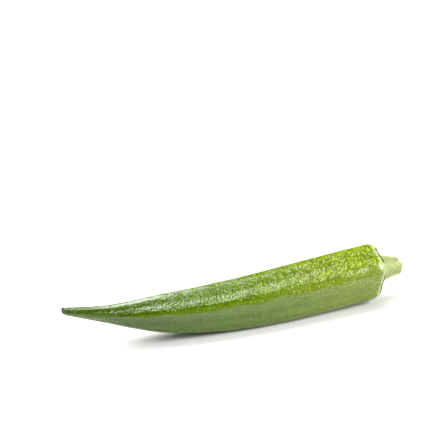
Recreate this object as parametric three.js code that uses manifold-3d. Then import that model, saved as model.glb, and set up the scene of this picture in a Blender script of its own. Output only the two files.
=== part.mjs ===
// A fresh okra pod lying on its side, tip towards -X and cut stalk towards +X.
//
// The pod is a five-ridged capsule with a slender beak that lifts off the surface, and the stalk is
// the pale, flared piece of stem that stays on when the pod is picked. The ring where the leafy calyx
// dropped off parts the two. Both follow one centreline, and their ridges run through from tip to cut.
//
// Frame: millimetres, +Z up, origin on the surface below the middle of the object's box.

import * as THREE from "three";
import { mergeVertices } from "three/addons/utils/BufferGeometryUtils.js";
import Module from "manifold-3d";

// ---- Driving dimensions, in millimetres and degrees -------------------------------------------------

const POD_LENGTH = 121.4; // tip to calyx scar, along the straight part of the centreline
const STALK_LENGTH = 13.1; // calyx scar to cut end
const SCAR_GAP = 0.3; // between the pod's end and the stalk

const TIP_BLUNT = 1.4; // length of the rounded end of the beak
const SHOULDER_LENGTH = 2.6; // length of the rounded shoulder at the head
const SCAR_RADIUS = 10.0; // centre to ridge at the calyx scar
const LIP_HEIGHT = 0.4; // how far the pod's rim stands round the scar
const LIP_WIDTH = 0.9; // how wide that rim is

// From the centre to a ridge's crest, at distances from the tip: a slim beak that swells to the body.
const RIDGE_RADIUS = [
  { from: 0, radius: 1.3 },
  { from: 7.5, radius: 2.2 },
  { from: 15, radius: 3.3 },
  { from: 24, radius: 5.1 },
  { from: 35, radius: 7.2 },
  { from: 47, radius: 8.5 },
  { from: 62, radius: 9.7 },
  { from: 81, radius: 10.6 },
  { from: 100, radius: 10.9 },
  { from: POD_LENGTH, radius: 11.0 },
];

// The same for the stalk, at distances past the scar: a flared foot that narrows to the cut stem.
const STALK_RADIUS = [
  { past: 0, radius: 8.7 },
  { past: 1.3, radius: 7.3 },
  { past: 3.2, radius: 5.9 },
  { past: 6.2, radius: 4.9 },
  { past: 9.2, radius: 4.2 },
  { past: STALK_LENGTH, radius: 3.6 },
];
const CUT_CHAMFER = 0.3; // worn edge of the cut end
const CUT_SLANT = 9; // how far the cut leans out at its lower edge
const CUT_SLANT_FROM = POD_LENGTH + 8; // the stalk slants more and more from here to the cut end

const RIDGES = 5;
const FIRST_RIDGE = 21.5; // from level on the -Y side, rising
const RIDGE_SHIFT = 5.2; // how far growth has pushed the ridges round, unevenly
const SHIFT_PHASE = 30; // where round the pod that push starts
const TIP_TWIST = 10; // how far the ridges turn round towards the tip
const TWIST_END = 85; // past this distance from the tip they run straight
const BEAK_TWIST = 30; // how much further the beak turns round at its tip
const BEAK_TWIST_END = 40;

// How far a face's middle lies in from its ridges, as a share of their radius, from tip to cut end.
const FACE_SINK = [
  { from: 0, sink: 0.05 },
  { from: 15, sink: 0.09 },
  { from: 30, sink: 0.11 },
  { from: 46, sink: 0.125 },
  { from: 62, sink: 0.16 },
  { from: 80, sink: 0.15 },
  { from: 112, sink: 0.125 },
  { from: POD_LENGTH + STALK_LENGTH, sink: 0.13 },
];
const RIB_HEIGHT = 0.05; // fine rib along each ridge's crest
const RIB_SHARPNESS = 40; // power of the ridge's cosine: higher is narrower
const SEAM_DEPTH = 0.12; // shallow seam along the middle of each face
const SEAM_SHARPNESS = 8;

const TIP_BEND = 14.5; // how far the beak curves away from the straight part
const BEND_START = 0.8; // share of the length where that curve begins
const BEND_POWER = 2.5;
const BEND_HEADING = 45; // from straight up, towards +Y
const REST_PITCH = 2.8; // how far the head is lifted, which lays the heavy part's underside level
const HEAD_LEAN = 6.5; // how far the scar leans out over the stalk at the top
const LEAN_FROM = 104; // the head leans more and more from this distance to the scar
const STALK_DROOP = 6.5; // how far the cut end dips below the line of the pod
const FLAT_DEPTH = 0.3; // how deep the two lowest ridges are pressed flat where the pod lies

const STEPS_PER_FACE = 12;
const STEPS_ALONG_POD = 54;
const STEPS_ROUND_TIP = 4;
const STEPS_ROUND_SHOULDER = 5;
const STEPS_ALONG_STALK = 12;
const RIDGE_CROWDING = 0.3; // 0 spreads the vertices evenly, nearer 1 crowds them at the ridges
const LEAST_STEP = 0.3; // two rings of vertices along the flank are never closer than this
const SAME_POINT = 1e-3; // vertices nearer than this are one

// ---- The centreline -----------------------------------------------------------------------------------

const rad = THREE.MathUtils.degToRad;

// A point of the centreline, at a distance from the tip. Past the scar it dips with the stalk.
function centre(distance) {
  const bendEnd = BEND_START * POD_LENGTH;
  const reach = Math.max(0, (bendEnd - distance) / bendEnd);
  const away = TIP_BEND * reach ** BEND_POWER;
  const pastScar = Math.max(0, distance - POD_LENGTH);
  const dip = (Math.tan(rad(STALK_DROOP)) * pastScar ** 2) / (2 * STALK_LENGTH);
  return new THREE.Vector3(
    distance,
    away * Math.sin(rad(BEND_HEADING)),
    away * Math.cos(rad(BEND_HEADING)) - dip,
  );
}

// The two directions across the centreline there: sideways (towards -Y) and up.
function across(distance) {
  const tangent = centre(distance + LEAST_STEP).sub(centre(distance - LEAST_STEP)).normalize();
  const up = new THREE.Vector3(0, 0, 1);
  up.addScaledVector(tangent, -tangent.z).normalize();
  return { side: new THREE.Vector3().crossVectors(tangent, up), up };
}

// ---- The ribbed section -------------------------------------------------------------------------------

// The share by which a face's middle lies in, at a distance from the tip.
function faceSink(distance) {
  const next = Math.max(1, FACE_SINK.findIndex(({ from }) => from >= distance));
  const before = FACE_SINK[next - 1];
  const after = FACE_SINK[next];
  const share = THREE.MathUtils.smoothstep(distance, before.from, after.from);
  return THREE.MathUtils.lerp(before.sink, after.sink, share);
}

// The angle by which the ridges are turned round, at a distance from the tip.
function twist(distance) {
  const left = Math.max(0, 1 - distance / TWIST_END);
  const beakLeft = Math.max(0, 1 - distance / BEAK_TWIST_END);
  return TIP_TWIST * left + BEAK_TWIST * beakLeft ** 2;
}

// How far a point slides along the pod: forwards where the head leans, back above a slanting cut.
function slide(distance, height) {
  const leaning = THREE.MathUtils.clamp((distance - LEAN_FROM) / (POD_LENGTH - LEAN_FROM), 0, 1);
  const cutEnd = POD_LENGTH + STALK_LENGTH;
  const nearCut = Math.max(0, (distance - CUT_SLANT_FROM) / (cutEnd - CUT_SLANT_FROM));
  return height * (leaning * Math.tan(rad(HEAD_LEAN)) - nearCut * Math.tan(rad(CUT_SLANT)));
}

// Maps an even turn (0 to 1 round the lathe) to the angle and the radius factor of the ribbed section.
function ribbed(turn, distance, radius) {
  const place = turn * RIDGES;
  const ridge = Math.floor(place);
  const even = place - ridge;
  const fromRidge = even - (RIDGE_CROWDING * Math.sin(2 * Math.PI * even)) / (2 * Math.PI);
  const plain = FIRST_RIDGE + ((ridge + fromRidge) * 360) / RIDGES;
  const angle = rad(plain + RIDGE_SHIFT * Math.sin(rad(plain + SHIFT_PHASE)) - twist(distance));

  const crest = (1 + Math.cos(2 * Math.PI * fromRidge)) / 2;
  const sink = faceSink(distance) * (1 - crest);
  const relief = RIB_HEIGHT * crest ** RIB_SHARPNESS - SEAM_DEPTH * (1 - crest) ** SEAM_SHARPNESS;
  return { angle, factor: 1 - sink + relief / (radius + TIP_BLUNT) };
}

// Turns a profile round the centreline. The lathe's own axis becomes the centreline, its round section
// becomes the ribbed one.
function ribbedBody(profile) {
  const lathe = new THREE.LatheGeometry(profile, RIDGES * STEPS_PER_FACE);
  lathe.deleteAttribute("normal");
  lathe.deleteAttribute("uv");
  const points = lathe.getAttribute("position");
  const point = new THREE.Vector3();
  for (let i = 0; i < points.count; i += 1) {
    point.fromBufferAttribute(points, i);
    const radius = Math.hypot(point.x, point.z);
    // Ridges are counted from the front upwards, which is against the lathe's own turn.
    const turn = THREE.MathUtils.euclideanModulo(Math.atan2(-point.x, point.z) / (2 * Math.PI), 1);
    const { angle, factor } = ribbed(turn, point.y, radius);
    const distance = point.y + slide(point.y, radius * Math.sin(angle));
    const { side, up } = across(distance);
    point
      .copy(centre(distance))
      .addScaledVector(side, radius * factor * Math.cos(angle))
      .addScaledVector(up, radius * factor * Math.sin(angle));
    points.setXYZ(i, point.x, point.y, point.z);
  }
  return closed(lathe);
}

// Merges the seam and the poles of a lathe and drops the faces that have no area there.
function closed(geometry) {
  const merged = mergeVertices(geometry, SAME_POINT);
  const corners = merged.index.array;
  const kept = [];
  for (let i = 0; i < corners.length; i += 3) {
    const [a, b, c] = corners.slice(i, i + 3);
    if (a !== b && b !== c && c !== a) {
      kept.push(a, b, c);
    }
  }
  merged.setIndex(kept);
  return merged;
}

// ---- The two profiles: radius across, distance along ---------------------------------------------------

// The points of a smooth flank through the listed radii that lie between two distances.
function flank(points, steps, start, end) {
  return new THREE.SplineCurve(points)
    .getPoints(steps)
    .filter((point) => point.y > start + LEAST_STEP && point.y < end - LEAST_STEP);
}

// From the blunt tip along the flank to the shoulder, over the rim and in to the centre of the scar.
function podProfile() {
  const tipRadius = RIDGE_RADIUS[0].radius;
  const headRadius = RIDGE_RADIUS.at(-1).radius;
  const shoulderStart = POD_LENGTH - SHOULDER_LENGTH;
  const stations = RIDGE_RADIUS.map(({ from, radius }) => new THREE.Vector2(radius, from));

  const blunt = new THREE.EllipseCurve(0, TIP_BLUNT, tipRadius, TIP_BLUNT, -Math.PI / 2, 0);
  const shoulder = new THREE.EllipseCurve(
    SCAR_RADIUS,
    shoulderStart,
    headRadius - SCAR_RADIUS,
    SHOULDER_LENGTH + LIP_HEIGHT,
    0,
    Math.PI / 2,
  );
  return [
    ...blunt.getPoints(STEPS_ROUND_TIP),
    ...flank(stations, STEPS_ALONG_POD, TIP_BLUNT, shoulderStart),
    ...shoulder.getPoints(STEPS_ROUND_SHOULDER),
    new THREE.Vector2(SCAR_RADIUS - LIP_WIDTH, POD_LENGTH),
    new THREE.Vector2(0, POD_LENGTH),
  ];
}

// From the centre of the foot out to its edge, along the flare to the cut end and back to the centre.
function stalkProfile() {
  const start = POD_LENGTH + SCAR_GAP;
  const end = POD_LENGTH + STALK_LENGTH;
  const cutRadius = STALK_RADIUS.at(-1).radius;
  const stations = STALK_RADIUS.map(({ past, radius }) => new THREE.Vector2(radius, POD_LENGTH + past));
  return [
    new THREE.Vector2(0, start),
    new THREE.Vector2(STALK_RADIUS[0].radius - SCAR_GAP, start),
    ...flank(stations, STEPS_ALONG_STALK, start, end - CUT_CHAMFER),
    new THREE.Vector2(cutRadius, end - CUT_CHAMFER),
    new THREE.Vector2(cutRadius - CUT_CHAMFER, end),
    new THREE.Vector2(0, end),
  ];
}

// ---- Laying it down -------------------------------------------------------------------------------------

const wasm = await Module();
wasm.setup();

function solid(geometry) {
  return new wasm.Manifold(
    new wasm.Mesh({
      numProp: 3,
      vertProperties: new Float32Array(geometry.getAttribute("position").array),
      triVerts: new Uint32Array(geometry.index.array),
    }),
  );
}

function geometryOf(body) {
  const mesh = body.getMesh();
  const geometry = new THREE.BufferGeometry();
  geometry.setAttribute("position", new THREE.BufferAttribute(mesh.vertProperties, 3));
  geometry.setIndex(new THREE.BufferAttribute(mesh.triVerts, 1));
  geometry.computeVertexNormals();
  return geometry;
}

// Cuts away what lies below the surface, which leaves the flat spots that the pod lies on.
function pressedFlat(geometry) {
  geometry.computeBoundingBox();
  const size = geometry.boundingBox.getSize(new THREE.Vector3());
  const middle = geometry.boundingBox.getCenter(new THREE.Vector3());
  const slab = new THREE.BoxGeometry(2 * size.x, 2 * size.y, size.z);
  slab.deleteAttribute("normal");
  slab.deleteAttribute("uv");
  slab.translate(middle.x, middle.y, -size.z / 2);
  return geometryOf(solid(geometry).subtract(solid(mergeVertices(slab))));
}

const podBody = ribbedBody(podProfile());
const stalkBody = ribbedBody(stalkProfile());

for (const body of [podBody, stalkBody]) {
  body.rotateY(-rad(REST_PITCH));
}
podBody.computeBoundingBox();
const drop = -podBody.boundingBox.min.z - FLAT_DEPTH;
for (const body of [podBody, stalkBody]) {
  body.translate(0, 0, drop);
}

// ---- The two pieces -------------------------------------------------------------------------------------

const podSkin = new THREE.MeshStandardMaterial({ color: 0x7d9a3c, roughness: 0.5, metalness: 0 });
podSkin.name = "pod_skin";
const stalkFlesh = new THREE.MeshStandardMaterial({ color: 0xc3d392, roughness: 0.65, metalness: 0 });
stalkFlesh.name = "stalk_flesh";

const pod = new THREE.Mesh(pressedFlat(podBody), podSkin);
pod.name = "pod";

stalkBody.computeVertexNormals();
const stalk = new THREE.Mesh(stalkBody, stalkFlesh);
stalk.name = "stalk";

const okra = new THREE.Group();
okra.name = "okra_pod";
okra.add(pod, stalk);

const middle = new THREE.Box3().setFromObject(okra).getCenter(new THREE.Vector3());
okra.position.set(-middle.x, -middle.y, 0);

export default okra;
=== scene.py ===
import functools
import math

import bpy
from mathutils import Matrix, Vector


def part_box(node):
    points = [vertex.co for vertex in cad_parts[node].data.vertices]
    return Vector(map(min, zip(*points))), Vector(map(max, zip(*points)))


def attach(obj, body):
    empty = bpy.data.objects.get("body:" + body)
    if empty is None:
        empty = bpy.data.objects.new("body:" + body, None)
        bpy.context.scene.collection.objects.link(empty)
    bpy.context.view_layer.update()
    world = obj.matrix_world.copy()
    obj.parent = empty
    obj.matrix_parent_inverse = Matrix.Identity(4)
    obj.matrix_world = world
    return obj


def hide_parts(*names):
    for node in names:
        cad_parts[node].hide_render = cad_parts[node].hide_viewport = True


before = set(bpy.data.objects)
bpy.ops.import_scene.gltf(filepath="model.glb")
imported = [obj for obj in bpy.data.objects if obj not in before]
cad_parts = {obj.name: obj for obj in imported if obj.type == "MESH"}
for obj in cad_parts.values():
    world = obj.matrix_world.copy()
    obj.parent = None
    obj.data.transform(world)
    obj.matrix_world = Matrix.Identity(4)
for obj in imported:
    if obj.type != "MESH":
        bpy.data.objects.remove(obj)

bl_info = {
    "name": "Okra Pod",
    "version": (1, 0, 0),
    "blender": (4, 5, 0),
    "location": "3D View > Sidebar > Okra",
    "description": "Grows a fresh okra pod with its cut stalk, calyx scar and down, in a pale studio",
    "category": "Add Mesh",
}
BODY = "root"

# ---- Shape, in metres ------------------------------------------------------------

MM = 0.001
POD_LENGTH = 121.4 * MM  # tip to calyx scar
STALK_LENGTH = 13.1 * MM  # calyx scar to cut end
TIP_BLUNT = 1.4 * MM  # length of the rounded end of the beak
SHOULDER_LENGTH = 2.6 * MM  # length of the rounded shoulder at the head
SCAR_RADIUS = 10.0 * MM  # centre to ridge at the calyx scar
LIP_HEIGHT = 0.4 * MM  # how far the rim stands round the scar
LIP_WIDTH = 0.9 * MM
LIP_MIDDLE = 0.8  # height halfway across the rim, as a share of its full height
CUT_CHAMFER = 0.3 * MM  # worn edge of the cut end

# From the centre to a ridge's crest, at distances from the tip, in millimetres.
RIDGE_RADIUS = [
    (0, 1.3), (7.5, 2.2), (15, 3.3), (24, 5.1), (35, 7.2),
    (47, 8.5), (62, 9.7), (81, 10.6), (100, 10.9), (121.4, 11.0),
]
# The same for the stalk, at distances past the scar.
STALK_RADIUS = [(0, 8.7), (1.3, 7.3), (3.2, 5.9), (6.2, 4.9), (9.2, 4.2), (13.1, 3.6)]
TWIST_END = 85 * MM  # past this the ridges run straight
BEAK_TWIST_END = 40 * MM  # the beak alone turns further, up to here
LEAN_START = 104 * MM  # the head leans more and more from here to the scar
# How far a face's middle lies in, as a share of the ridges' radius, at distances from the tip.
FACE_SINK = [
    (0, 0.05), (15, 0.09), (30, 0.11), (46, 0.125),
    (62, 0.16), (80, 0.15), (112, 0.125), (134.5, 0.13),
]
# From the axis of the withered style to its outside, at distances from the tip.
STYLE_RADIUS = [(0.05, 0), (0.05, 0.3), (0.15, 0.5), (0.5, 0.62), (1.0, 0.55), (1.4, 0.25), (1.4, 0)]
STYLE_SHIFT = Vector((0, 0, 0.75 * MM))  # it sits towards the upper side of the tip

SCAR_THICKNESS = 0.35 * MM  # half the thickness of the dried edge that the calyx left
SCAR_HEIGHT = 0.75 * MM  # half the height of that edge
SCAR_SINK = 0.05 * MM  # how far that edge lies in from the rim
CUT_STEP = 0.6 * MM  # how far the upper part of the cut end lies back
CUT_STEP_START = POD_LENGTH + 8 * MM
CUT_STEP_EDGE = (2.2 * MM, 2.7 * MM)  # heights above the axis between which that part begins

STRIATION_STRETCH = 0.05  # a fine line is this many times as wide as it is long
LUMP_STRETCH = 0.6
HAIR_LEAN = 0.6  # how far a hair may lean to a side, as a share of its height
SHORTEST_HAIR = 0.45  # as a share of the longest
BARE_HEIGHT = 1.5 * MM  # down is rubbed off below this, where the pod lies
STALK_DOWN_DENSITY = 3  # times as dense as on the pod
STALK_DOWN_SPAN = (0.3 * MM, 9 * MM)  # distances past the scar

POD_STEPS_PER_SPAN = 34  # rings of vertices between two listed radii
STALK_STEPS_PER_SPAN = 14
ROUNDING_STEPS = 12
SCAR_LOOP_STEPS = 16
DISC_RINGS = (1, 0.95, 0.8, 0.6, 0.4, 0.2, 0)  # rings of vertices across a flat end
POD_SIDES = 240  # vertices round the pod
STALK_SIDES = 150
STYLE_SIDES = 40
HAIR_SIDES = 3
LEAST_STEP = 0.1 * MM  # a flank keeps this far from the roundings at its ends
SAME_POINT = 0.002 * MM  # vertices nearer than this are merged

SOFTBOX_SIZE = (0.56, 0.9)  # width and depth of the lights
WINDOW_SIZE = (0.45, 0.8)
TOP_LIGHT_SIZE = (0.8, 0.5)
ROOM_LIGHT = 0.03  # even light from all round
CLOSEST_VIEW = 0.01  # nearer than this the camera sees nothing

# ---- Finish ----------------------------------------------------------------------

# Distances between the marks of each pattern.
SKIN_LINES = 0.8 * MM
SKIN_MOTTLE = 5 * MM
SKIN_DOTS = 1.2 * MM
DOWN_ROOTS = 0.8 * MM
RIM_EDGE = 2 * MM
WAX_PATCHES = 1.6 * MM
CREASES = 3 * MM
GRAIN = 0.65 * MM
STALK_FIBRES = 0.6 * MM
STALK_MOTTLE = 2 * MM
DRIED_PATCHES = 0.9 * MM
DOWN_MOTTLE = 3 * MM
# A pattern is drawn out along the pod where its last number is below 1.
LINES_DRAWN_OUT = (1, 1, 0.06)
CREASES_DRAWN_OUT = (1, 1, 0.3)
FIBRES_DRAWN_OUT = (1, 1, 0.08)

# Distances from the tip between which the skin changes. Two more numbers are its amounts there.
BODY_SHADE = (6 * MM, 60 * MM)
HEAD_SHADE = (50 * MM, 116 * MM)
RIM_SHADE = (POD_LENGTH, 122.8 * MM)
RIM_STRAY = 3 * MM  # how far the edge of the pale rim strays
DOT_SHADE = (20 * MM, 100 * MM, 0.05, 0.45)
SPECKLE_SHADE = (45 * MM, 105 * MM, 0, 0.36)
GRAIN_DEPTH = (50 * MM, 105 * MM, 0.3, 0.22)
HEAD_ROUGHNESS = (60 * MM, POD_LENGTH, 0, 0.07)
LIT_SIDE_HEIGHTS = (9 * MM, 15 * MM, 0.25, 1)  # the same for heights: below them the painted glints in grain and speckle fade

# How light each pattern's darkest and lightest marks are.
LINE_TONES = (0.93, 1.07)
MOTTLE_TONES = (0.9, 1.1)
# Painted shade along the seam in the middle of each face.
SEAM_SHADE_TONES = (0.9, 1)
SPOT_TONES = (-0.28, 0.28)  # added to 1
FIBRE_TONES = (0.8, 1.14)
STALK_TONES = (0.82, 1.12)
# Painted light on the stalk's edges and painted shade in its hollows.
EDGE_LIGHT_AND_SHADE_TONES = (0.8, 1.12)
DOWN_TONES = (0.85, 1.05)

# Where across a face a pattern begins and ends: 0 is the face's middle and 1 the ridge's crest.
# Painted shade along the seam in the middle of each face.
SEAM_SHADE_SPAN = (0.02, 0.16)
# Painted highlight along each ridge's crest.
CREST_HIGHLIGHT = (0.93, 1)
FLAT_OF_FACE = (0.66, 0.92)
SCAR_RIDGES = (0.55, 0.85)

# Values of a texture between which a mark ends or begins.
DOT_EDGE = (0.05, 0.3)
ROOT_EDGE = (0.5, 0.64)
PATCH_EDGE = (0.5, 0.75)

CREST_HIGHLIGHT_SHARE = 0.08  # how far the light line takes on its own colour
RIDGE_SHARE = 0.25  # how much of the grain and the speckle is left on a ridge
WAX_ROUGHNESS = (0.08, 0.18)
RIM_ROUGHNESS = 0.4  # more than the skin's
STALK_FOOT_SHARE = 0.45  # the stalk's paler foot is this much of its length
PITH_EDGE = (2.0 * MM, 2.6 * MM)  # distances from the stalk's axis
CUT_FACE = (POD_LENGTH + 10.6 * MM, POD_LENGTH + 10.9 * MM)  # the pith shows past these

# ---- What a user would change ----------------------------------------------------


def linear(hex_colour):
    """Turns an sRGB hex colour such as "#8fae3a" into linear red, green and blue, by the sRGB curve."""
    channels = [int(hex_colour[i : i + 2], 16) / 255 for i in (1, 3, 5)]
    return tuple(c / 12.92 if c <= 0.04045 else ((c + 0.055) / 1.055) ** 2.4 for c in channels)


def colour_setting(label, hex_colour, text):
    """A colour for the panel."""
    return bpy.props.FloatVectorProperty(
        name=label, description=text, default=linear(hex_colour), subtype="COLOR", size=3, min=0, max=1
    )


def number_setting(label, default, low, high, text, **more):
    """A plain number for the panel, between two limits."""
    return bpy.props.FloatProperty(
        name=label, description=text, default=default, min=low, max=high, **more
    )


def length_setting(label, default, text, **more):
    """A length for the panel, in metres."""
    return bpy.props.FloatProperty(
        name=label, description=text, default=default, subtype="DISTANCE", unit="LENGTH", **more
    )


def angle_setting(label, degrees, text):
    """An angle for the panel."""
    return bpy.props.FloatProperty(
        name=label, description=text, default=math.radians(degrees), subtype="ANGLE", unit="ROTATION"
    )


def place_setting(label, default, text):
    """A place or a move for the panel, in metres."""
    return bpy.props.FloatVectorProperty(
        name=label, description=text, default=default, subtype="TRANSLATION", unit="LENGTH"
    )


def power_setting(label, default, text):
    """The power of a light for the panel, in watts."""
    return bpy.props.FloatProperty(
        name=label, description=text, default=default, subtype="POWER", unit="POWER", min=0
    )


class OkraShape(bpy.types.PropertyGroup):
    """How the pod and its stalk have grown."""

    ridges: bpy.props.IntProperty(
        name="Ridges", description="Number of ridges along the pod", default=5, min=3, max=10
    )
    first_ridge: angle_setting("First ridge", 21.5, "Height of the front ridge round the pod, from level")
    ridge_shift: angle_setting("Ridge shift", 5.2, "How far growth has pushed the ridges round, unevenly")
    shift_phase: angle_setting("Shift phase", 30, "Where round the pod that push starts")
    rib_height: length_setting("Rib height", 0.05 * MM, "Height of the fine rib along each ridge's crest")
    rib_sharpness: number_setting("Rib sharpness", 40, 1, 60, "Higher is a narrower rib")
    seam_depth: length_setting("Seam depth", 0.12 * MM, "Depth of the shallow seam along each face")
    seam_sharpness: number_setting("Seam sharpness", 8, 1, 20, "Higher is a narrower seam")
    tip_bend: length_setting("Tip bend", 14.5 * MM, "How far the beak curves away from the straight part")
    bend_start: number_setting(
        "Bend start", 0.8, 0.1, 1, "Share of the length where the curve begins", subtype="FACTOR"
    )
    bend_power: number_setting("Bend power", 2.5, 1, 6, "Higher keeps the curve nearer the tip")
    bend_heading: angle_setting("Bend heading", 45, "Direction of the curve, from straight up to the back")
    rest_pitch: angle_setting("Rest pitch", 2.8, "How far the head is lifted where the pod lies")
    tip_twist: angle_setting("Tip twist", 10, "How far the ridges turn round towards the tip")
    beak_twist: angle_setting("Beak twist", 30, "How much further the beak turns round")
    head_lean: angle_setting("Head lean", 6.5, "How far the scar leans out over the stalk at the top")
    stalk_droop: angle_setting("Stalk droop", 6.5, "How far the cut end dips below the line of the pod")
    cut_slant: angle_setting("Cut slant", 9, "How far the lower edge of the cut end stands out")
    place: place_setting("Place", (0, 0, 0), "Move that brings the pod onto the frame; worked out from it")


class OkraSurface(bpy.types.PropertyGroup):
    """The fine relief and the down."""

    striation_height: length_setting(
        "Striation height", 0.05 * MM, "Height of the fine lines along the skin", precision=6
    )
    striation_width: length_setting(
        "Striation width", 0.9 * MM, "Distance between the fine lines", precision=5
    )
    lump_height: length_setting(
        "Lump height", 0.13 * MM, "Height of the gentle unevenness of the skin", precision=5
    )
    lump_width: length_setting("Lump width", 8 * MM, "Distance between the gentle lumps")
    hair_length: length_setting("Hair length", 0.4 * MM, "Length of the longest hairs", precision=5)
    hair_width: length_setting("Hair width", 0.05 * MM, "Thickness of a hair at its root", precision=6)
    hairs_per_square_mm: number_setting("Hairs per square mm", 0.7, 0, 10, "How densely the hairs stand")
    seed: bpy.props.IntProperty(
        name="Seed", description="Changes where the hairs and lumps fall", default=7
    )


class OkraColours(bpy.types.PropertyGroup):
    """The colours of the skin, the stalk and the dried parts."""

    tip: colour_setting("Tip", "#3c5600", "Skin towards the tip of the beak")
    body: colour_setting("Body", "#4d6900", "Skin along the middle of the pod")
    head: colour_setting("Head", "#687c00", "Skin near the stalk")
    rim: colour_setting("Rim", "#a3b072", "Pale lip round the calyx scar")
    # Crest also colours the painted highlight along each ridge and the painted glints in the speckle.
    crest: colour_setting("Crest", "#b9c65a", "Light line along a ridge, dots and roots of the down")
    hair: colour_setting("Hair", "#eef3c8", "The down, and the sheen of the stalk")
    stalk: colour_setting("Stalk", "#939f5e", "Stalk")
    stalk_foot: colour_setting("Stalk foot", "#a3ad6b", "Stalk near the calyx scar, and its pith")
    scar: colour_setting("Scar", "#3a4a12", "Dried edge where the calyx dropped off")
    style: colour_setting("Style", "#33260f", "Withered style at the tip")


class OkraStudio(bpy.types.PropertyGroup):
    """Camera, floor and lights."""

    camera_heading: angle_setting(
        "Camera heading", 25.7, "Direction that the camera looks in, from +Y towards +X"
    )
    camera_elevation: angle_setting("Camera elevation", 22, "How far the camera looks down")
    camera_distance: length_setting(
        "Camera distance", 0.428, "Distance from the camera to the point it looks at"
    )
    field_of_view: angle_setting("Field of view", 22, "Angle across the picture")
    aim: place_setting("Aim", (-1.1 * MM, 17.0 * MM, 34.8 * MM), "Point that the camera looks at")
    floor_size: length_setting("Floor size", 6, "Width of the pale floor")
    softbox_power: power_setting("Softbox power", 15.5, "Light above and behind")
    softbox_place: place_setting("Softbox place", (-0.06, 0.42, 0.76), "Middle of that light")
    window_power: power_setting("Window power", 20, "Large light in front, at the stalk's side")
    window_place: place_setting("Window place", (0.92, -0.54, 0.57), "Middle of that light")
    tip_window_power: power_setting("Tip window power", 4, "Large light at the tip's side")
    tip_window_place: place_setting("Tip window place", (-0.85, -0.2, 0.6), "Middle of that light")
    top_light_power: power_setting("Top light power", 2.0, "Large light overhead")
    top_light_place: place_setting("Top light place", (-0.38, 0.0, 0.95), "Middle of that light")


# ---- Small helpers ---------------------------------------------------------------

MATH = "ShaderNodeMath"
VECTOR = "ShaderNodeVectorMath"
COMBINE = "ShaderNodeCombineXYZ"
SEPARATE = "ShaderNodeSeparateXYZ"
MAP_RANGE = "ShaderNodeMapRange"
NOISE = "ShaderNodeTexNoise"
MIX = "ShaderNodeMix"
BUMP = "ShaderNodeBump"
PRINCIPLED = "ShaderNodeBsdfPrincipled"
ATTRIBUTE = "ShaderNodeAttribute"
SET_POSITION = "GeometryNodeSetPosition"
SMOOTH = {"interpolation_type": "SMOOTHSTEP"}
MOST_NOISE = (0.3, 0.7)  # nearly all of a noise texture lies between these
NOISE_MIDDLE = 0.5


def add_node(tree, kind, *values, **settings):
    """Adds one node to a tree with its settings and returns it.

    The values go to the sockets in use in order, and a dictionary's values to those that it names. A
    node given as a value stands for its first output in use.
    """
    node = tree.nodes.new(kind)
    for name, value in settings.items():
        setattr(node, name, value)
    sockets = [socket for socket in node.inputs if socket.enabled]
    named = {socket.name: socket for socket in sockets}
    for place, value in enumerate(values):
        for key, item in (value if isinstance(value, dict) else {place: value}).items():
            socket = named[key] if isinstance(key, str) else sockets[key]
            if isinstance(item, bpy.types.Node):
                item = next(output for output in item.outputs if output.enabled)
            if isinstance(item, bpy.types.NodeSocket):
                tree.links.new(item, socket)
            elif socket.type == "RGBA":
                socket.default_value = (*item[:3], 1)
            else:
                socket.default_value = item
    return node


def new_tree(name, inputs):
    """A geometry node tree with a named input for each size, and what adds a node to it."""
    tree = bpy.data.node_groups.new(name, "GeometryNodeTree")
    tree.interface.new_socket("Geometry", in_out="INPUT", socket_type="NodeSocketGeometry")
    for label, kind in inputs.items():
        tree.interface.new_socket(label, in_out="INPUT", socket_type="NodeSocket" + kind)
    tree.interface.new_socket("Geometry", in_out="OUTPUT", socket_type="NodeSocketGeometry")
    return tree, functools.partial(add_node, tree)


def end_tree(add, shape, material):
    """Ends a geometry node tree: real faces, no instances, smooth, with their material set."""
    real = add("GeometryNodeRealizeInstances", shape)
    smooth = add("GeometryNodeSetShadeSmooth", real)
    done = add("GeometryNodeSetMaterial", smooth, {"Material": material})
    add("NodeGroupOutput", done)


def run_tree(name, mesh, tree, values, changes):
    """Runs a geometry node tree on a mesh and returns an object with the result as its plain mesh.

    The changes are named like the tree's inputs, with underscores, and take the place of the values.
    """
    values = {**values, **{label.replace("_", " "): value for label, value in changes.items()}}
    piece = bpy.data.objects.new(name, mesh)
    bpy.context.scene.collection.objects.link(piece)
    modifier = piece.modifiers.new(tree.name, "NODES")
    modifier.node_group = tree
    for item in tree.interface.items_tree:
        if item.in_out == "INPUT" and item.name in values:
            modifier[item.identifier] = values[item.name]
    depsgraph = bpy.context.evaluated_depsgraph_get()
    result = bpy.data.meshes.new_from_object(piece.evaluated_get(depsgraph), depsgraph=depsgraph)
    piece.modifiers.clear()
    piece.data = result
    result.name = name
    if not result.polygons:
        raise RuntimeError(f"{name} came out empty")
    return piece


def hand_over(piece, slot, *replaced):
    """Tells the frame which body the piece rides on and hides the nodes it stands for; slot is not used."""
    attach(piece, BODY)
    if replaced:
        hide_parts(*replaced)


# ---- The profiles: radius across and distance along, from end to end -------------


def flank(stations, steps, start, end):
    """Points of a smooth curve through the stations that lie between two distances."""
    points = [Vector((radius * MM, distance * MM)) for distance, radius in stations]
    curve = []
    for i, (here, there) in enumerate(zip(points, points[1:])):
        before = points[max(i - 1, 0)]
        after = points[min(i + 2, len(points) - 1)]
        leave = (there - before) / 2
        arrive = (after - here) / 2
        for step in range(steps):
            t = step / steps
            cubic = (2 * here - 2 * there + leave + arrive) * t**3
            square = (3 * there - 3 * here - 2 * leave - arrive) * t**2
            curve.append(cubic + square + leave * t + here)
    return [p for p in curve if start + LEAST_STEP < p.y < end - LEAST_STEP]


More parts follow.
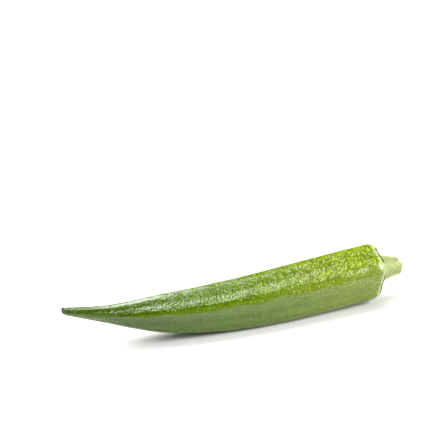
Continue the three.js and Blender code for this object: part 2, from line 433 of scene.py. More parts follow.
def quarter(centre_x, centre_y, radius_x, radius_y, start, steps):
    """Points of a quarter ellipse, from a starting angle anticlockwise."""
    angles = [start + math.pi / 2 * step / steps for step in range(steps + 1)]
    return [
        Vector((centre_x + radius_x * math.cos(angle), centre_y + radius_y * math.sin(angle)))
        for angle in angles
    ]


def pod_profile():
    """From the blunt tip along the flank to the shoulder, over the rim and in to the scar's centre."""
    tip = RIDGE_RADIUS[0][1] * MM
    head = RIDGE_RADIUS[-1][1] * MM
    shoulder_start = POD_LENGTH - SHOULDER_LENGTH
    lip_end = SCAR_RADIUS - LIP_WIDTH
    points = quarter(0, TIP_BLUNT, tip, TIP_BLUNT, -math.pi / 2, ROUNDING_STEPS)
    points += flank(RIDGE_RADIUS, POD_STEPS_PER_SPAN, TIP_BLUNT, shoulder_start)
    points += quarter(
        SCAR_RADIUS, shoulder_start, head - SCAR_RADIUS, SHOULDER_LENGTH + LIP_HEIGHT, 0, ROUNDING_STEPS
    )
    points.append(Vector((SCAR_RADIUS - LIP_WIDTH / 2, POD_LENGTH + LIP_HEIGHT * LIP_MIDDLE)))
    points += [Vector((lip_end * share, POD_LENGTH)) for share in DISC_RINGS]
    return points


def stalk_profile():
    """From the centre of the foot out to its edge, along the flare to the cut end and back."""
    end = POD_LENGTH + STALK_LENGTH
    foot = STALK_RADIUS[0][1] * MM
    cut = STALK_RADIUS[-1][1] * MM - CUT_CHAMFER
    stations = [(POD_LENGTH / MM + past, radius) for past, radius in STALK_RADIUS]
    points = [Vector((foot * share, POD_LENGTH)) for share in reversed(DISC_RINGS)]
    points += flank(stations, STALK_STEPS_PER_SPAN, POD_LENGTH, end - CUT_CHAMFER)
    points += quarter(cut, end - CUT_CHAMFER, CUT_CHAMFER, CUT_CHAMFER, 0, ROUNDING_STEPS // 2)
    points += [Vector((cut * share, end)) for share in DISC_RINGS[1:]]
    return points


def scar_profile():
    """A small closed loop between the rim and the stalk's foot."""
    points = []
    for step in range(SCAR_LOOP_STEPS + 1):
        angle = math.tau * step / SCAR_LOOP_STEPS
        radius = SCAR_RADIUS - SCAR_SINK + SCAR_THICKNESS * math.cos(angle)
        points.append(Vector((radius, POD_LENGTH + LIP_HEIGHT + SCAR_HEIGHT * math.sin(angle))))
    return points


def style_profile():
    """A short stub that sits on the tip."""
    return [Vector((radius * MM, distance * MM)) for distance, radius in STYLE_RADIUS]


# ---- The ribbed lathe ------------------------------------------------------------

# The inputs that the panel's groups hold under the same names, and then the rest.
SHAPE_INPUTS = (
    "First Ridge", "Ridge Shift", "Shift Phase", "Tip Twist", "Beak Twist", "Rib Height", "Rib Sharpness",
    "Seam Depth", "Seam Sharpness", "Tip Bend", "Bend Power", "Bend Heading", "Rest Pitch",
)
SURFACE_INPUTS = ("Striation Height", "Striation Width", "Lump Height", "Lump Width")
OTHER_INPUTS = ("Ridges", "Head Lean", "Bend End", "Dip", "Cut Step", "Cut Slant", "Seed")
LATHE_INPUTS = {
    **dict.fromkeys(SHAPE_INPUTS + SURFACE_INPUTS + OTHER_INPUTS, "Float"),
    "Sides": "Int", "Place": "Vector", "Material": "Material",
}


def ribbed_lathe():
    """Turns a profile round a bent centreline with a ribbed section.

    A grid gets one row for each point of the profile and one column for each side. Every vertex goes
    where the rule of growth says, and keeps two attributes for the materials: "grown", its place on the
    unbent pod, and "crest", which is 1 on a ridge and 0 in the middle of a face.
    """
    tree, add = new_tree("Ribbed Lathe", LATHE_INPUTS)
    given = add("NodeGroupInput").outputs
    position = add("GeometryNodeInputPosition")

    # Each vertex of the grid reads its own point of the profile.
    rows = add("GeometryNodeAttributeDomainSize", given["Geometry"])
    columns = add(MATH, given["Sides"], 1, operation="ADD")
    grid = add("GeometryNodeMeshGrid", 1, 1, rows, columns)
    index = add("GeometryNodeInputIndex")
    middle = add(MATH, index, 0.5, operation="ADD")
    row = add(MATH, add(MATH, middle, columns, operation="DIVIDE"), operation="FLOOR")
    row_start = add(MATH, row, columns, operation="MULTIPLY")
    column = add(MATH, index, row_start, operation="SUBTRACT")
    turn = add(MATH, column, given["Sides"], operation="DIVIDE")
    sampled = {"Geometry": given["Geometry"], "Value": position, "Index": row}
    profile = add("GeometryNodeSampleIndex", sampled, data_type="FLOAT_VECTOR")
    radius, _, along = add(SEPARATE, profile).outputs

    # The angle of each vertex, with the ridges pushed round a little and twisted towards the tip.
    plain = add(MATH, turn, math.tau, given["First Ridge"], operation="MULTIPLY_ADD")
    phase = add(MATH, plain, given["Shift Phase"], operation="ADD")
    push = add(MATH, phase, operation="SINE")
    pushed = add(MATH, push, given["Ridge Shift"], plain, operation="MULTIPLY_ADD")
    twist = add(MAP_RANGE, along, 0, TWIST_END, given["Tip Twist"], 0)
    beak_left = add(MAP_RANGE, along, 0, BEAK_TWIST_END, 1, 0)
    beak_share = add(MATH, beak_left, 2, operation="POWER")
    beak = add(MATH, beak_share, given["Beak Twist"], twist, operation="MULTIPLY_ADD")
    angle = add(MATH, pushed, beak, operation="SUBTRACT")
    angle_sine = add(MATH, angle, operation="SINE")
    angle_cosine = add(MATH, angle, operation="COSINE")

    # The upper part of the cut end lies back a little from the lower part, and the head leans.
    height = add(MATH, radius, angle_sine, operation="MULTIPLY")
    upper = add(MAP_RANGE, height, *CUT_STEP_EDGE, 0, 1, **SMOOTH)
    near_cut = add(MAP_RANGE, along, CUT_STEP_START, POD_LENGTH + STALK_LENGTH, 0, 1)
    share = add(MATH, upper, near_cut, operation="MULTIPLY")
    slant = add(MATH, height, given["Cut Slant"], operation="MULTIPLY")
    slant_back = add(MATH, slant, near_cut, operation="MULTIPLY")
    back = add(MATH, share, given["Cut Step"], slant_back, operation="MULTIPLY_ADD")
    at_head = add(MAP_RANGE, along, LEAN_START, POD_LENGTH, 0, given["Head Lean"])
    lean = add(MATH, height, at_head, operation="MULTIPLY")
    leaned = add(MATH, along, lean, operation="ADD")
    distance = add(MATH, leaned, back, operation="SUBTRACT")

    # The ribbed section: full radius at the crest of a ridge, less on the faces, least in their seams.
    rounds = add(MATH, turn, given["Ridges"], operation="MULTIPLY")
    wave = add(MATH, add(MATH, rounds, math.tau, operation="MULTIPLY"), operation="COSINE")
    crest = add(MATH, wave, 0.5, 0.5, operation="MULTIPLY_ADD")
    sink = FACE_SINK[0][1]
    for (start, before), (end, after) in zip(FACE_SINK, FACE_SINK[1:]):
        span = add(MAP_RANGE, along, start * MM, end * MM, 0, after - before, **SMOOTH)
        sink = add(MATH, sink, span, operation="ADD")
    off_crest = add(MATH, 1, crest, operation="SUBTRACT")
    seam = add(MATH, off_crest, given["Seam Sharpness"], operation="POWER")
    full = add(MATH, radius, TIP_BLUNT, operation="ADD")
    seam_share = add(MATH, given["Seam Depth"], full, operation="DIVIDE")
    face_cut = add(MATH, sink, off_crest, operation="MULTIPLY")
    cuts = add(MATH, seam, seam_share, face_cut, operation="MULTIPLY_ADD")
    rib = add(MATH, crest, given["Rib Sharpness"], operation="POWER")
    rib_share = add(MATH, given["Rib Height"], full, operation="DIVIDE")
    raised = add(MATH, rib, rib_share, 1, operation="MULTIPLY_ADD")
    factor = add(MATH, raised, cuts, operation="SUBTRACT")
    ribbed = add(MATH, radius, factor, operation="MULTIPLY")
    sideways = add(MATH, ribbed, angle_cosine, operation="MULTIPLY")
    upwards = add(MATH, ribbed, angle_sine, operation="MULTIPLY")

    # The centreline and its slope: bent towards the tip, dipping past the scar.
    to_bend_end = add(MATH, given["Bend End"], distance, operation="SUBTRACT")
    left = add(MATH, to_bend_end, given["Bend End"], operation="DIVIDE")
    reach = add(MATH, left, 0, operation="MAXIMUM")
    curve = add(MATH, reach, given["Bend Power"], operation="POWER")
    away = add(MATH, curve, given["Tip Bend"], operation="MULTIPLY")
    power_less = add(MATH, given["Bend Power"], 1, operation="SUBTRACT")
    steep = add(MATH, reach, power_less, operation="POWER")
    bend_rate = add(MATH, given["Tip Bend"], given["Bend Power"], operation="MULTIPLY")
    rate = add(MATH, bend_rate, given["Bend End"], operation="DIVIDE")
    away_slope = add(MATH, steep, rate, operation="MULTIPLY")
    beyond = add(MATH, distance, POD_LENGTH, operation="SUBTRACT")
    past = add(MATH, beyond, 0, operation="MAXIMUM")
    dip_rate = add(MATH, given["Dip"], STALK_LENGTH, operation="DIVIDE")
    dip_slope = add(MATH, past, dip_rate, operation="MULTIPLY")
    half_past = add(MATH, past, -0.5, operation="MULTIPLY")
    dip = add(MATH, dip_slope, half_past, operation="MULTIPLY")
    heading_sine = add(MATH, given["Bend Heading"], operation="SINE")
    heading_cosine = add(MATH, given["Bend Heading"], operation="COSINE")
    bent_back = add(MATH, away, heading_sine, operation="MULTIPLY")
    bent_up = add(MATH, away, heading_cosine, dip, operation="MULTIPLY_ADD")
    centre = add(COMBINE, distance, bent_back, bent_up)
    slope_back = add(MATH, away_slope, heading_sine, operation="MULTIPLY")
    slope_up = add(MATH, away_slope, heading_cosine, dip_slope, operation="MULTIPLY_ADD")
    slope = add(COMBINE, 0, slope_back, slope_up)
    tangent = add(VECTOR, (1, 0, 0), slope, operation="SUBTRACT")
    aside = add(VECTOR, tangent, (0, 0, 1), operation="CROSS_PRODUCT")
    side = add(VECTOR, aside, operation="NORMALIZE")
    upright = add(VECTOR, side, tangent, operation="CROSS_PRODUCT")
    up = add(VECTOR, upright, operation="NORMALIZE")
    side_part = add(VECTOR, side, sideways, operation="SCALE")
    up_part = add(VECTOR, up, upwards, operation="SCALE")
    out = add(VECTOR, side_part, up_part, operation="ADD")
    spot = add(VECTOR, centre, out, operation="ADD")
    lift = add(MATH, given["Rest Pitch"], -1, operation="MULTIPLY")
    pitched = add("ShaderNodeVectorRotate", spot, {"Angle": lift}, rotation_type="Y_AXIS")
    laid = add(VECTOR, pitched, given["Place"], operation="ADD")

    # The place on the unbent pod is kept for the relief and the materials.
    grown = add(COMBINE, sideways, upwards, along)
    kept = grid
    for name, value, kind in (("grown", grown, "FLOAT_VECTOR"), ("crest", crest, "FLOAT")):
        named = {"Name": name, "Value": value}
        kept = add("GeometryNodeStoreNamedAttribute", kept, named, data_type=kind)
    shaped = add(SET_POSITION, kept, {"Position": laid})
    whole = add("GeometryNodeMergeByDistance", shaped, {"Distance": SAME_POINT})

    # Relief of the skin: fine lines along it and gentle lumps.
    skin = add("GeometryNodeInputNamedAttribute", "grown", data_type="FLOAT_VECTOR")
    relief = 0.0
    for name, stretch in (("Striation", STRIATION_STRETCH), ("Lump", LUMP_STRETCH)):
        stretched = add(VECTOR, skin, (1, 1, stretch), operation="MULTIPLY")
        scale = add(MATH, 1, given[name + " Width"], operation="DIVIDE")
        pattern = {"Vector": stretched, "W": given["Seed"], "Scale": scale, "Detail": 2.0}
        noise = add(NOISE, pattern, noise_dimensions="4D")
        swing = add(MATH, noise, NOISE_MIDDLE, operation="SUBTRACT")
        relief = add(MATH, swing, given[name + " Height"], relief, operation="MULTIPLY_ADD")
    normal = add("GeometryNodeInputNormal")
    offset = add(VECTOR, normal, relief, operation="SCALE")
    textured = add(SET_POSITION, whole, {"Offset": offset})

    # What would lie below the surface is pressed flat.
    x, y, z = add(SEPARATE, position).outputs
    above = add(COMBINE, x, y, add(MATH, z, 0, operation="MAXIMUM"))
    pressed = add(SET_POSITION, textured, {"Position": above})
    end_tree(add, pressed, given["Material"])
    return tree


def lathed(name, profile, **changes):
    """Runs the ribbed lathe on a profile, with the sizes from the panel and the changes given."""
    shape = bpy.context.scene.okra_shape
    surface = bpy.context.scene.okra_surface
    values = {
        "Sides": POD_SIDES,
        "Ridges": float(shape.ridges),
        "Head Lean": math.tan(shape.head_lean),
        "Bend End": shape.bend_start * POD_LENGTH,
        "Dip": math.tan(shape.stalk_droop),
        "Cut Step": 0.0,
        "Cut Slant": 0.0,
        "Place": shape.place,
        "Seed": float(surface.seed),
    }
    for group, labels in ((shape, SHAPE_INPUTS), (surface, SURFACE_INPUTS)):
        for label in labels:
            values[label] = getattr(group, label.lower().replace(" ", "_"))
    mesh = bpy.data.meshes.new(name + "_profile")
    mesh.from_pydata([(point.x, 0, point.y) for point in profile], [], [])
    tree = bpy.data.node_groups.get("Ribbed Lathe") or ribbed_lathe()
    return run_tree(name, mesh, tree, values, changes)


def find_place():
    """The move that brings the pod, as the rule makes it, onto the frame's own pod."""
    clear = Vector((0, 0, 1))  # far enough up that nothing is pressed flat
    trial = lathed("trial", pod_profile(), Place=clear, Striation_Height=0.0, Lump_Height=0.0)
    spots = [vertex.co for vertex in trial.data.vertices]
    first = Vector((min(p.x for p in spots), min(p.y for p in spots), max(p.z for p in spots)))
    bpy.data.objects.remove(trial)
    low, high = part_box("pod")
    return Vector((low.x, low.y, high.z)) - first + clear


# ---- Down ------------------------------------------------------------------------

DOWN_INPUTS = {
    **dict.fromkeys(("Density", "Length", "Width", "Lean", "Keep Above", "From", "To"), "Float"),
    "Seed": "Int", "Material": "Material",
}


def down_tree():
    """Short tapered hairs that stand on a skin, clear of the surface that it lies on."""
    tree, add = new_tree("Down", DOWN_INPUTS)
    given = add("NodeGroupInput").outputs
    height = add(SEPARATE, add("GeometryNodeInputPosition")).outputs["Z"]
    skin = add("GeometryNodeInputNamedAttribute", "grown", data_type="FLOAT_VECTOR")
    distance = add(SEPARATE, skin).outputs["Z"]
    clear = add(MATH, height, given["Keep Above"], operation="GREATER_THAN")
    after = add(MATH, distance, given["From"], operation="GREATER_THAN")
    before = add(MATH, distance, given["To"], operation="LESS_THAN")
    inside = add(MATH, after, before, operation="MULTIPLY")
    chosen = add(MATH, inside, clear, operation="MULTIPLY")
    seed = {"Seed": given["Seed"]}
    scattered = add(
        "GeometryNodeDistributePointsOnFaces",
        {"Mesh": given["Geometry"], "Selection": chosen, "Density": given["Density"]}, seed,
    )
    hair = add(
        "GeometryNodeMeshCone",
        {"Vertices": HAIR_SIDES, "Radius Bottom": given["Width"], "Depth": given["Length"]},
    )
    tilt = add("FunctionNodeRandomValue", (-1, -1, -1), (1, 1, 1), seed, data_type="FLOAT_VECTOR")
    lean = add(VECTOR, tilt, given["Lean"], operation="SCALE")
    direction = add(VECTOR, scattered.outputs["Normal"], lean, operation="ADD")
    stand = add("FunctionNodeAlignRotationToVector", {"Vector": direction}, axis="Z")
    size = add("FunctionNodeRandomValue", SHORTEST_HAIR, 1.0, seed, data_type="FLOAT")
    stance = {"Instance": hair, "Rotation": stand, "Scale": size}
    placed = add("GeometryNodeInstanceOnPoints", scattered, stance)
    end_tree(add, placed, given["Material"])
    return tree


def down(name, skin, material, **changes):
    """Covers a piece with down, with the sizes from the panel and the changes given."""
    surface = bpy.context.scene.okra_surface
    values = {
        "Density": surface.hairs_per_square_mm / MM**2,
        "Length": surface.hair_length,
        "Width": surface.hair_width / 2,
        "Lean": HAIR_LEAN,
        "Keep Above": BARE_HEIGHT,
        "From": 0.0,
        "To": POD_LENGTH + STALK_LENGTH,
        "Seed": surface.seed,
        "Material": material,
    }
    tree = bpy.data.node_groups.get("Down") or down_tree()
    return run_tree(name, bpy.data.objects[skin].data.copy(), tree, values, changes)


# ---- Materials -------------------------------------------------------------------


def new_material(name):
    """An empty node material, also where there is one already, and what adds a node to it."""
    material = bpy.data.materials.get(name) or bpy.data.materials.new(name)
    material.use_nodes = True
    material.node_tree.nodes.clear()
    return material, functools.partial(add_node, material.node_tree)


def fresh_okra_skin():
    """Fresh okra skin: a waxy, slightly translucent leaf-like skin.

    The eye sees dark green at the beak that turns yellower towards the stalk, where pale roots of the
    down speckle it among painted glints of light, and fine lines, raised dots, painted shade along the
    seams, a pale ragged rim round the scar and a soft, broken sheen.
    """
    colours = bpy.context.scene.okra_colours
    material, add = new_material("fresh_okra_skin")
    grown = add(ATTRIBUTE, attribute_name="grown").outputs["Vector"]
    crest = add(ATTRIBUTE, attribute_name="crest").outputs["Fac"]
    distance = add(SEPARATE, grown).outputs["Z"]

    # Colour along the pod.
    tint = colours.tip
    for span, shade in ((BODY_SHADE, colours.body), (HEAD_SHADE, colours.head)):
        weight = add(MAP_RANGE, distance, *span, **SMOOTH)
        tint = add(MIX, weight, tint, shade, data_type="RGBA")

    # A pale, matt rim with a ragged edge goes round the scar.
    edge = add(NOISE, grown, {"Scale": 1 / RIM_EDGE, "Detail": 2.0})
    ragged = add(MATH, edge, RIM_STRAY, distance, operation="MULTIPLY_ADD")
    rim = add(MAP_RANGE, ragged, *RIM_SHADE, **SMOOTH)
    tint = add(MIX, rim, tint, colours.rim, data_type="RGBA")

    # Fine lines along the skin, broad mottling and painted shade darkening the seam in each face's middle.
    lines = add(VECTOR, grown, LINES_DRAWN_OUT, operation="MULTIPLY")
    streaks = add(NOISE, lines, {"Scale": 1 / SKIN_LINES, "Detail": 3.0})
    mottle = add(NOISE, grown, {"Scale": 1 / SKIN_MOTTLE, "Detail": 3.0})
    streak_value = add(MAP_RANGE, streaks, *MOST_NOISE, *LINE_TONES)
    mottle_value = add(MAP_RANGE, mottle, *MOST_NOISE, *MOTTLE_TONES)
    seam_shade = add(MAP_RANGE, crest, *SEAM_SHADE_SPAN, *SEAM_SHADE_TONES, **SMOOTH)

    # Fine grain in the colour, partly painted glints of light, that fades on the side the pod lies on.
    above = add(SEPARATE, add("ShaderNodeTexCoord").outputs["Object"]).outputs["Z"]
    kept = add(MAP_RANGE, above, *LIT_SIDE_HEIGHTS, **SMOOTH)
    roots = add(NOISE, grown, {"Scale": 1 / DOWN_ROOTS, "Detail": 0.5})
    spots = add(MAP_RANGE, roots, *MOST_NOISE, *SPOT_TONES)
    grain_and_glint_value = add(MATH, spots, kept, 1, operation="MULTIPLY_ADD")
    value = 1.0
    for part in (streak_value, mottle_value, seam_shade, grain_and_glint_value):
        value = add(MATH, value, part, operation="MULTIPLY")
    toned = add("ShaderNodeHueSaturation", {"Value": value, "Color": tint})

    # A painted highlight: a light line runs along each ridge's crest.
    crest_highlight = add(MAP_RANGE, crest, *CREST_HIGHLIGHT, 0, CREST_HIGHLIGHT_SHARE, **SMOOTH)
    highlighted = add(MIX, crest_highlight, toned, colours.crest, data_type="RGBA")

    # Raised dots at the roots of the longer hairs, paler towards the head. They are drawn a little
    # coarser than real ones, so that they show.
    dots = add("ShaderNodeTexVoronoi", grown, {"Scale": 1 / SKIN_DOTS})
    dot = add(MAP_RANGE, dots.outputs["Distance"], *DOT_EDGE, 1, 0, **SMOOTH)
    pale = add(MAP_RANGE, distance, *DOT_SHADE)
    dot_colour = add(MATH, dot, pale, operation="MULTIPLY")
    dotted = add(MIX, dot_colour, highlighted, colours.crest, data_type="RGBA")

    # Towards the head pale speckle stands for roots of finer down and partly for painted glints of
    # light, drawn coarser than real ones. It is mostly left off the ridges and fades on the lower side.
    flat = add(MAP_RANGE, crest, *FLAT_OF_FACE, 1, RIDGE_SHARE, **SMOOTH)
    root = add(MAP_RANGE, roots, *ROOT_EDGE, **SMOOTH)
    speckle = add(MAP_RANGE, distance, *SPECKLE_SHADE)
    for part in (root, flat, kept):
        speckle = add(MATH, part, speckle, operation="MULTIPLY")
    speckled_and_glinting = add(MIX, speckle, dotted, colours.crest, data_type="RGBA")

    # Wax lies unevenly and is worn towards the head, so the gloss is broken. The rim is matt.
    wax = add(NOISE, grown, {"Scale": 1 / WAX_PATCHES, "Detail": 4.0})
    worn = add(MAP_RANGE, distance, *HEAD_ROUGHNESS)
    broken = add(MAP_RANGE, wax, *MOST_NOISE, *WAX_ROUGHNESS)
    roughness = add(MATH, broken, worn, operation="ADD")
    roughness = add(MATH, rim, RIM_ROUGHNESS, roughness, operation="MULTIPLY_ADD")

    # Relief in millimetres: shallow creases along the pod, a fine grain, the fine lines and the dots.
    along = add(VECTOR, grown, CREASES_DRAWN_OUT, operation="MULTIPLY")
    creases = add(NOISE, along, {"Scale": 1 / CREASES, "Detail": 1.0})
    grain = add(NOISE, grown, {"Scale": 1 / GRAIN, "Detail": 1.0})
    depth = add(MAP_RANGE, distance, *GRAIN_DEPTH)
    depth = add(MATH, depth, flat, operation="MULTIPLY")
    height = 0.0
    for pattern, part in ((creases, 0.52), (grain, depth), (streaks, 0.05), (dot, 0.1)):
        height = add(MATH, pattern, part, height, operation="MULTIPLY_ADD")
    bump = add(BUMP, {"Strength": 1.0, "Distance": 1 * MM, "Height": height})
    skin = add(
        PRINCIPLED,
        {
            "Base Color": speckled_and_glinting, "Roughness": roughness, "IOR": 1.48, "Normal": bump,
            "Specular IOR Level": 0.7, "Subsurface Weight": 0.08,
            "Subsurface Radius": (0.6, 1.0, 0.2), "Subsurface Scale": 1.2 * MM,
        },
    )
    add("ShaderNodeOutputMaterial", skin)
    return material


def cut_okra_stalk():
    """Fresh cut stalk: fibrous and pale, matt and a little downy, with a pith in its cut end."""
    colours = bpy.context.scene.okra_colours
    material, add = new_material("cut_okra_stalk")
    grown = add(ATTRIBUTE, attribute_name="grown").outputs["Vector"]
    crest = add(ATTRIBUTE, attribute_name="crest").outputs["Fac"]
    distance = add(SEPARATE, grown).outputs["Z"]
    foot_end = POD_LENGTH + STALK_FOOT_SHARE * STALK_LENGTH
    along = add(MAP_RANGE, distance, POD_LENGTH, foot_end, **SMOOTH)
    tint = add(MIX, along, colours.stalk_foot, colours.stalk, data_type="RGBA")

    # Fibres run along it, and painted light and shade make its edges lighter than its hollows.
    lines = add(VECTOR, grown, FIBRES_DRAWN_OUT, operation="MULTIPLY")
    fibres = add(NOISE, lines, {"Scale": 1 / STALK_FIBRES, "Detail": 3.0})
    mottle = add(NOISE, grown, {"Scale": 1 / STALK_MOTTLE, "Detail": 4.0})
    fibre_value = add(MAP_RANGE, fibres, *MOST_NOISE, *FIBRE_TONES)
    mottle_value = add(MAP_RANGE, mottle, *MOST_NOISE, *STALK_TONES)
    both = add(MATH, fibre_value, mottle_value, operation="MULTIPLY")
    edge_shading = add(MAP_RANGE, crest, 0, 1, *EDGE_LIGHT_AND_SHADE_TONES)
    value = add(MATH, both, edge_shading, operation="MULTIPLY")
    toned = add("ShaderNodeHueSaturation", {"Value": value, "Color": tint})

    # The cut end shows a paler pith inside a greener ring.
    across = add(VECTOR, grown, (1, 1, 0), operation="MULTIPLY")
    radius = add(VECTOR, across, operation="LENGTH")
    inside = add(MAP_RANGE, radius, *PITH_EDGE, 1, 0, **SMOOTH)
    at_cut = add(MAP_RANGE, distance, *CUT_FACE)
    pith = add(MATH, inside, at_cut, operation="MULTIPLY")
    pale = add(MIX, pith, toned, colours.stalk_foot, data_type="RGBA")
    height = add(MATH, fibres, mottle, operation="ADD")
    bump = add(BUMP, {"Strength": 1.0, "Distance": 0.3 * MM, "Height": height})
    flesh = add(
        PRINCIPLED,
        {
            "Base Color": pale, "Roughness": 0.6, "IOR": 1.4, "Normal": bump,
            "Sheen Weight": 0.3, "Sheen Roughness": 0.5, "Sheen Tint": colours.hair,
        },
    )
    add("ShaderNodeOutputMaterial", flesh)
    return material


def dried_okra_scar(name, dark, light, on_ridges):
    """Dried tissue: matt, brown and broken up, where the calyx or the style was.

    With on_ridges at 1 the lighter colour runs over it at the ridges, as the skin's pale rim does.
    """
    material, add = new_material(name)
    grown = add(ATTRIBUTE, attribute_name="grown").outputs["Vector"]
    crest = add(ATTRIBUTE, attribute_name="crest").outputs["Fac"]
    patches = add(NOISE, grown, {"Scale": 1 / DRIED_PATCHES, "Detail": 4.0})
    overrun = add(MAP_RANGE, crest, *SCAR_RIDGES, 0, on_ridges, **SMOOTH)
    weight = add(MAP_RANGE, patches, *PATCH_EDGE)
    weight = add(MATH, weight, overrun, operation="MAXIMUM")
    tint = add(MIX, weight, dark, light, data_type="RGBA")
    bump = add(BUMP, {"Strength": 0.8, "Distance": 0.1 * MM, "Height": patches})
    dried = add(PRINCIPLED, {"Base Color": tint, "Roughness": 0.85, "IOR": 1.4, "Normal": bump})
    add("ShaderNodeOutputMaterial", dried)
    return material


def okra_down():
    """Down: short stiff plant hairs, pale and a little see-through, that catch the light."""
    material, add = new_material("okra_down")
    grown = add(ATTRIBUTE, attribute_name="grown").outputs["Vector"]
    mottle = add(NOISE, grown, {"Scale": 1 / DOWN_MOTTLE})
    value = add(MAP_RANGE, mottle, *MOST_NOISE, *DOWN_TONES)
    hair = bpy.context.scene.okra_colours.hair
    tint = add("ShaderNodeHueSaturation", {"Value": value, "Color": hair})
    strand = add(PRINCIPLED, {"Base Color": tint, "Roughness": 0.5, "IOR": 1.5, "Transmission Weight": 0.2})
    add("ShaderNodeOutputMaterial", strand)
    return material


def plain_paper():
    """Floor: plain matt white paper."""
    material, add = new_material("plain_paper")
    white = linear("#e8e8e8")
    paper = add(PRINCIPLED, {"Base Color": white, "Roughness": 0.95, "Specular IOR Level": 0.1})
    add("ShaderNodeOutputMaterial", paper)
    return material


# ---- Pieces ----------------------------------------------------------------------


class OKRA_OT_ribbed_pod(bpy.types.Operator):
    """Grow the ribbed pod, from its blunt tip to the rim round the calyx scar"""

    bl_idname = "okra.ribbed_pod"
    bl_label = "Ribbed Pod"

    def execute(self, context):
        context.scene.okra_shape.place = find_place()
        pod = lathed("ribbed_pod", pod_profile(), Material=fresh_okra_skin())
        hand_over(pod, "pod_skin", "pod")
        return {"FINISHED"}


class OKRA_OT_cut_stalk(bpy.types.Operator):
    """Grow the flared stalk with its cut end"""

    bl_idname = "okra.cut_stalk"
    bl_label = "Cut Stalk"

    def execute(self, context):
        stalk = lathed(
            "cut_stalk", stalk_profile(), Sides=STALK_SIDES, Cut_Step=CUT_STEP,
            Cut_Slant=math.tan(context.scene.okra_shape.cut_slant),
            Striation_Height=0.08 * MM, Striation_Width=0.5 * MM, Lump_Width=3 * MM,
            Material=cut_okra_stalk(),
        )
        hand_over(stalk, "stalk_flesh", "stalk")
        return {"FINISHED"}


class OKRA_OT_calyx_scar(bpy.types.Operator):
    """Lay the ragged dried edge that the calyx left round the foot of the stalk"""

    bl_idname = "okra.calyx_scar"
    bl_label = "Calyx Scar"

    def execute(self, context):
        colours = context.scene.okra_colours
        scar = lathed(
            "calyx_scar", scar_profile(), Striation_Height=0.4 * MM, Striation_Width=0.8 * MM,
            Lump_Height=0.3 * MM, Lump_Width=2.5 * MM,
            Material=dried_okra_scar("dried_calyx_scar", colours.scar, colours.rim, 1.0),
        )
        hand_over(scar, "stalk_flesh")
        return {"FINISHED"}


class OKRA_OT_style_remnant(bpy.types.Operator):
    """Leave the withered foot of the style on the tip"""

    bl_idname = "okra.style_remnant"
    bl_label = "Style Remnant"

    def execute(self, context):
        colours = context.scene.okra_colours
        place = Vector(context.scene.okra_shape.place) + STYLE_SHIFT
        style = lathed(
            "style_remnant", style_profile(), Sides=STYLE_SIDES, Place=place,
            Striation_Height=0.3 * MM, Striation_Width=0.4 * MM, Lump_Height=0.2 * MM, Lump_Width=1 * MM,
            Material=dried_okra_scar("withered_style", colours.style, colours.scar, 0.0),
        )
        hand_over(style, "stalk_flesh")
        return {"FINISHED"}


class OKRA_OT_down(bpy.types.Operator):
    """Cover the pod and the foot of the stalk with short down"""

    bl_idname = "okra.down"
    bl_label = "Down"

    def execute(self, context):
        material = okra_down()
        pod_down = down("pod_down", "ribbed_pod", material, To=POD_LENGTH + LIP_HEIGHT / 2)
        hand_over(pod_down, "pod_skin")
        density = STALK_DOWN_DENSITY * context.scene.okra_surface.hairs_per_square_mm / MM**2
        start, end = STALK_DOWN_SPAN
        stalk_down = down(
            "stalk_down", "cut_stalk", material, Density=density, From=POD_LENGTH + start,
            To=POD_LENGTH + end,
        )
        hand_over(stalk_down, "stalk_flesh")
        return {"FINISHED"}


# ---- Studio ----------------------------------------------------------------------


def area_light(name, place, target, size, power):
    """A soft light of a given width and depth that faces a point."""
    lamp = bpy.data.lights.new(name, "AREA")
    lamp.shape = "RECTANGLE"
    lamp.size, lamp.size_y = size
    lamp.energy = power
    light = bpy.data.objects.new(name, lamp)
    light.location = place
    light.rotation_euler = (Vector(target) - Vector(place)).to_track_quat("-Z", "Y").to_euler()
    bpy.context.scene.collection.objects.link(light)


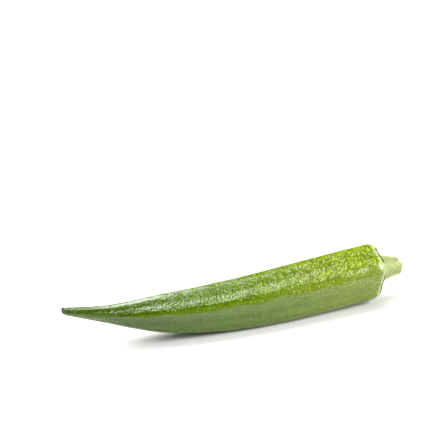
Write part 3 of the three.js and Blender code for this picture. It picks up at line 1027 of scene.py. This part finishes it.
class OKRA_OT_studio(bpy.types.Operator):
    """Set up the pale floor, the soft lights and the camera"""

    bl_idname = "okra.studio"
    bl_label = "Studio"

    def execute(self, context):
        scene = context.scene
        studio = scene.okra_studio
        half = studio.floor_size / 2
        mesh = bpy.data.meshes.new("floor")
        corners = [(-half, -half, 0), (half, -half, 0), (half, half, 0), (-half, half, 0)]
        mesh.from_pydata(corners, [], [(0, 1, 2, 3)])
        mesh.materials.append(plain_paper())
        floor = bpy.data.objects.new("floor", mesh)
        scene.collection.objects.link(floor)

        # A light that is square on faces across the pod where it stands, and the others face its middle.
        for name, square_on, size in (
            ("softbox", True, SOFTBOX_SIZE),
            ("window", False, WINDOW_SIZE),
            ("tip_window", False, WINDOW_SIZE),
            ("top_light", True, TOP_LIGHT_SIZE),
        ):
            place = getattr(studio, name + "_place")
            target = Vector((place[0] if square_on else 0, 0, 0))
            area_light(name, place, target, size, getattr(studio, name + "_power"))
        world = bpy.data.worlds.new("dark_room")
        world.use_nodes = True
        world.node_tree.nodes.clear()
        white = linear("#ffffff")
        room = add_node(world.node_tree, "ShaderNodeBackground", white, {"Strength": ROOM_LIGHT})
        add_node(world.node_tree, "ShaderNodeOutputWorld", room)
        scene.world = world
        scene.view_settings.view_transform = "Standard"

        heading, elevation = studio.camera_heading, studio.camera_elevation
        level = math.cos(elevation)
        forward = Vector((math.sin(heading) * level, math.cos(heading) * level, -math.sin(elevation)))
        lens = bpy.data.cameras.new("camera")
        lens.angle = studio.field_of_view
        lens.clip_start = CLOSEST_VIEW
        camera = bpy.data.objects.new("camera", lens)
        camera.location = Vector(studio.aim) - forward * studio.camera_distance
        camera.rotation_euler = forward.to_track_quat("-Z", "Y").to_euler()
        scene.collection.objects.link(camera)
        scene.camera = camera
        return {"FINISHED"}


# ---- Panel and registration ------------------------------------------------------

OPERATORS = (
    OKRA_OT_ribbed_pod,
    OKRA_OT_cut_stalk,
    OKRA_OT_calyx_scar,
    OKRA_OT_style_remnant,
    OKRA_OT_down,
    OKRA_OT_studio,
)
GROUPS = {
    "okra_shape": OkraShape,
    "okra_surface": OkraSurface,
    "okra_colours": OkraColours,
    "okra_studio": OkraStudio,
}


class OKRA_PT_panel(bpy.types.Panel):
    """Lists the sizes, the colours and the pieces of the okra pod"""

    bl_idname = "OKRA_PT_panel"
    bl_label = "Okra Pod"
    bl_space_type = "VIEW_3D"
    bl_region_type = "UI"
    bl_category = "Okra"

    def draw(self, context):
        for holder, group in GROUPS.items():
            box = self.layout.box()
            for name in group.__annotations__:
                box.prop(getattr(context.scene, holder), name)
        for operator in OPERATORS:
            self.layout.operator(operator.bl_idname)


def register():
    for group in (*GROUPS.values(), *OPERATORS, OKRA_PT_panel):
        bpy.utils.register_class(group)
    for holder, group in GROUPS.items():
        setattr(bpy.types.Scene, holder, bpy.props.PointerProperty(type=group))


def unregister():
    for holder in GROUPS:
        delattr(bpy.types.Scene, holder)
    for group in (OKRA_PT_panel, *reversed(OPERATORS), *reversed(GROUPS.values())):
        bpy.utils.unregister_class(group)


def main():
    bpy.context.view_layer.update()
    register()
    bpy.ops.okra.ribbed_pod()
    bpy.ops.okra.cut_stalk()
    bpy.ops.okra.calyx_scar()
    bpy.ops.okra.style_remnant()
    bpy.ops.okra.down()
    bpy.ops.okra.studio()


if __name__ == "__main__":
    main()
